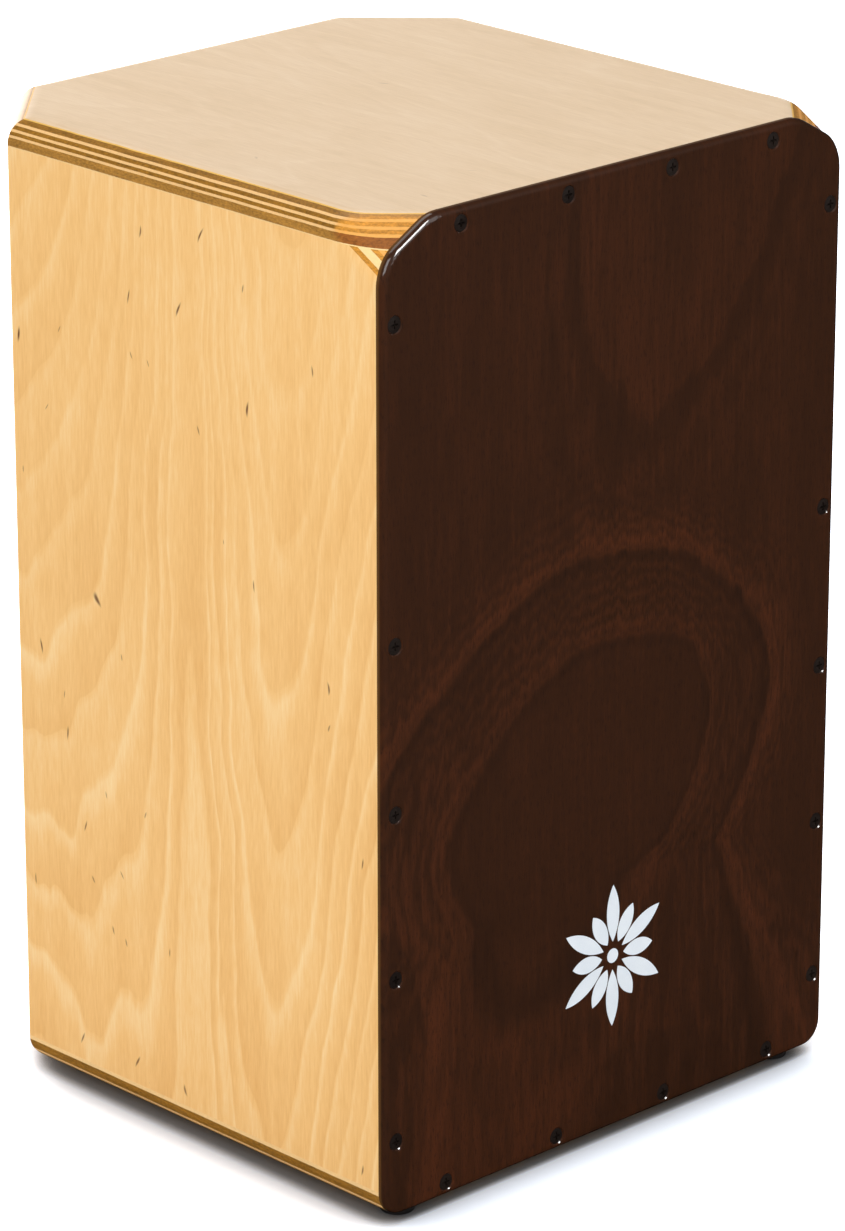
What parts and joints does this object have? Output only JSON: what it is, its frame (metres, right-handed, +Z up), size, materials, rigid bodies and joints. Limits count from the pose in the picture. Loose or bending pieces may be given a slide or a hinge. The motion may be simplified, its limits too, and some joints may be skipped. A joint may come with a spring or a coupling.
{
  "type": "cajon",
  "caption": "Plywood box drum to sit on: dark bevel-cornered striking board, cut-off rear corners, round rear sound hole and a snare thrown on and off by a lever.",
  "frame": {"origin": "on the floor, under the middle of the drum's overall box", "axes": "+Z up, the tapa (front striking board) faces -Y, the drum's own left side is at -X"},
  "size_m": [0.3, 0.3037, 0.4865],
  "materials": {
    "seat_ply": "satin lacquer",
    "birch_ply": "satin lacquer",
    "tapa_board": "dark stain under gloss lacquer",
    "print": "printed",
    "black_screw": "black, slightly glossy",
    "steel": "zinc plated",
    "polished_steel": "polished",
    "black_steel": "black oxide",
    "alloy": "fine cast",
    "brass_plate": "brushed",
    "snare_wire": "coiled steel wire",
    "grip": "soft moulded",
    "nylon": "natural nylon",
    "felt": "pressed felt",
    "rubber": "moulded"
  },
  "bodies": {
    "drum_body": {"tapa": "tapa_board", "tapa_screws": "black_screw", "front_emblem": "print", "foot_screws": "steel", "foot_washers": "steel", "bearing_screws": "steel", "stop_screws": "steel", "bearing_left": "alloy", "bearing_right": "alloy", "bush_left": "nylon", "bush_right": "nylon", "lever_stop": "steel", "stop_pad_upper": "felt", "stop_pad_lower": "felt", "seat_panel": "seat_ply", "base_panel": "birch_ply", "side_panel_left": "birch_ply", "side_panel_right": "birch_ply", "rear_corner_panel_left": "birch_ply", "rear_corner_panel_right": "birch_ply", "back_panel": "birch_ply", "foot_front_left": "rubber", "foot_front_right": "rubber", "foot_rear_left": "rubber", "foot_rear_right": "rubber"},
    "snare_unit": {"snare_bar": "polished_steel", "bar_collar": "steel", "collar_set_screw": "black_steel", "snare_clamp_left": "alloy", "snare_clamp_right": "alloy", "snare_plate_left": "brass_plate", "snare_plate_right": "brass_plate", "snare_wires_left": "snare_wire", "snare_wires_right": "snare_wire", "clamp_screws": "steel", "clamp_set_screws": "black_steel", "snare_lever": "steel", "lever_set_screw": "black_steel", "lever_grip": "grip"}
  },
  "joints": [
    {"name": "snare_throw", "type": "hinge", "parent": "drum_body", "child": "snare_unit", "pos_m": [0, -0.11356, 0.30042], "axis": [-1, 0, 0], "range_deg": [0, 10]}
  ]
}
